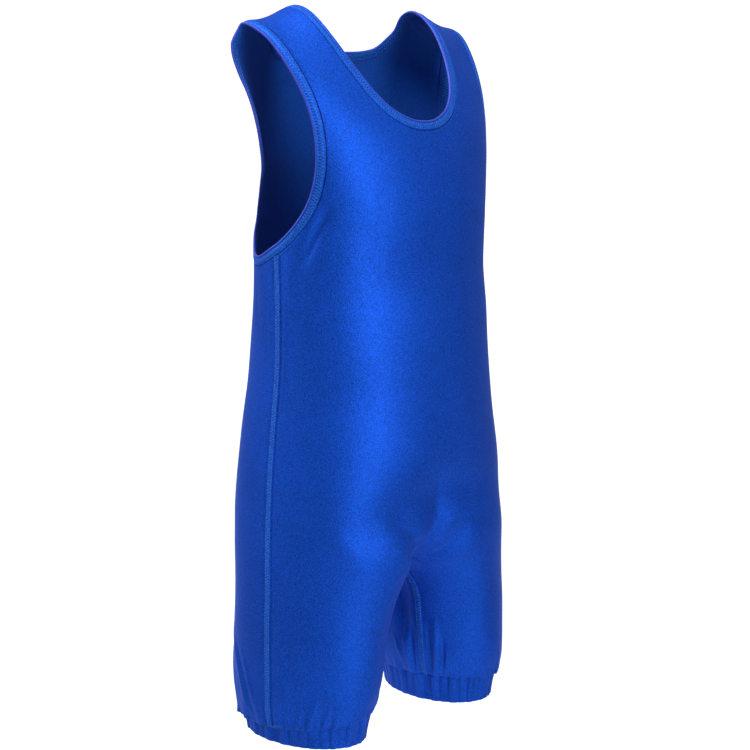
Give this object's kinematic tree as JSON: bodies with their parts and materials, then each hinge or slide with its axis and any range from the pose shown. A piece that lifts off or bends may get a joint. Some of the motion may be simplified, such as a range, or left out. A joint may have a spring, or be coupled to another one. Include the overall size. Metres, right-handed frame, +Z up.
{
  "type": "wrestling singlet",
  "caption": "One-piece sleeveless wrestling singlet in stretch cloth, with shoulder straps, scooped neck, deep armholes and thigh-length legs closed by gathered elastic bands.",
  "frame": {"origin": "midway between the wearer's shoulders, at the height where the straps rest on them", "axes": "+Z up from the legs to the shoulders, -Y the way the wearer faces, +X to the wearer's left"},
  "size_m": [0.3122, 0.2096, 0.7159],
  "materials": {
    "shell": "royal-blue stretch tricot with a soft satin sheen",
    "hem": "turned hem of the same cloth, coverstitched",
    "band": "elastic band covered in the same cloth, gathered"
  },
  "bodies": {
    "root": {"front_panel": "shell", "back_panel": "shell", "neck_hem": "hem", "armhole_hem_left": "hem", "armhole_hem_right": "hem", "leg_band_left": "band", "leg_band_right": "band"}
  },
  "joints": []
}
